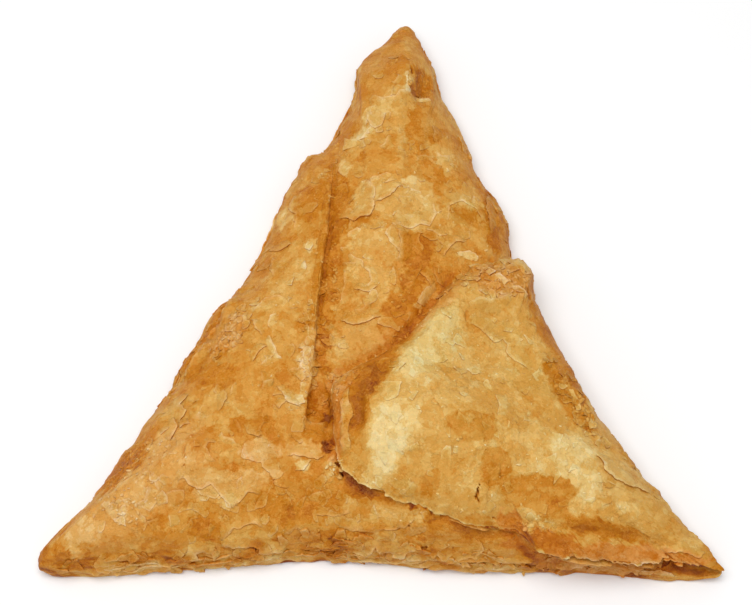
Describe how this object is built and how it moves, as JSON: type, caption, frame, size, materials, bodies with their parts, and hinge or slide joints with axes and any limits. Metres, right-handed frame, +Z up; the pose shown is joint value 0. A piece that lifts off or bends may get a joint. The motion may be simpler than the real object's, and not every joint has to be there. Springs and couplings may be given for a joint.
{
  "type": "samosa",
  "caption": "Triangular flaky pastry parcel lying flat, golden brown, with a puffed flap folded over one side and a small open mouth at that corner.",
  "frame": {"origin": "centre of the footprint, on the surface the samosa lies on", "axes": "+X to the right along the front edge, +Y towards the apex, +Z up"},
  "size_m": [0.1252, 0.1134, 0.0256],
  "materials": {
    "crust": "matte"
  },
  "bodies": {
    "root": {"samosa": "crust"}
  },
  "joints": []
}
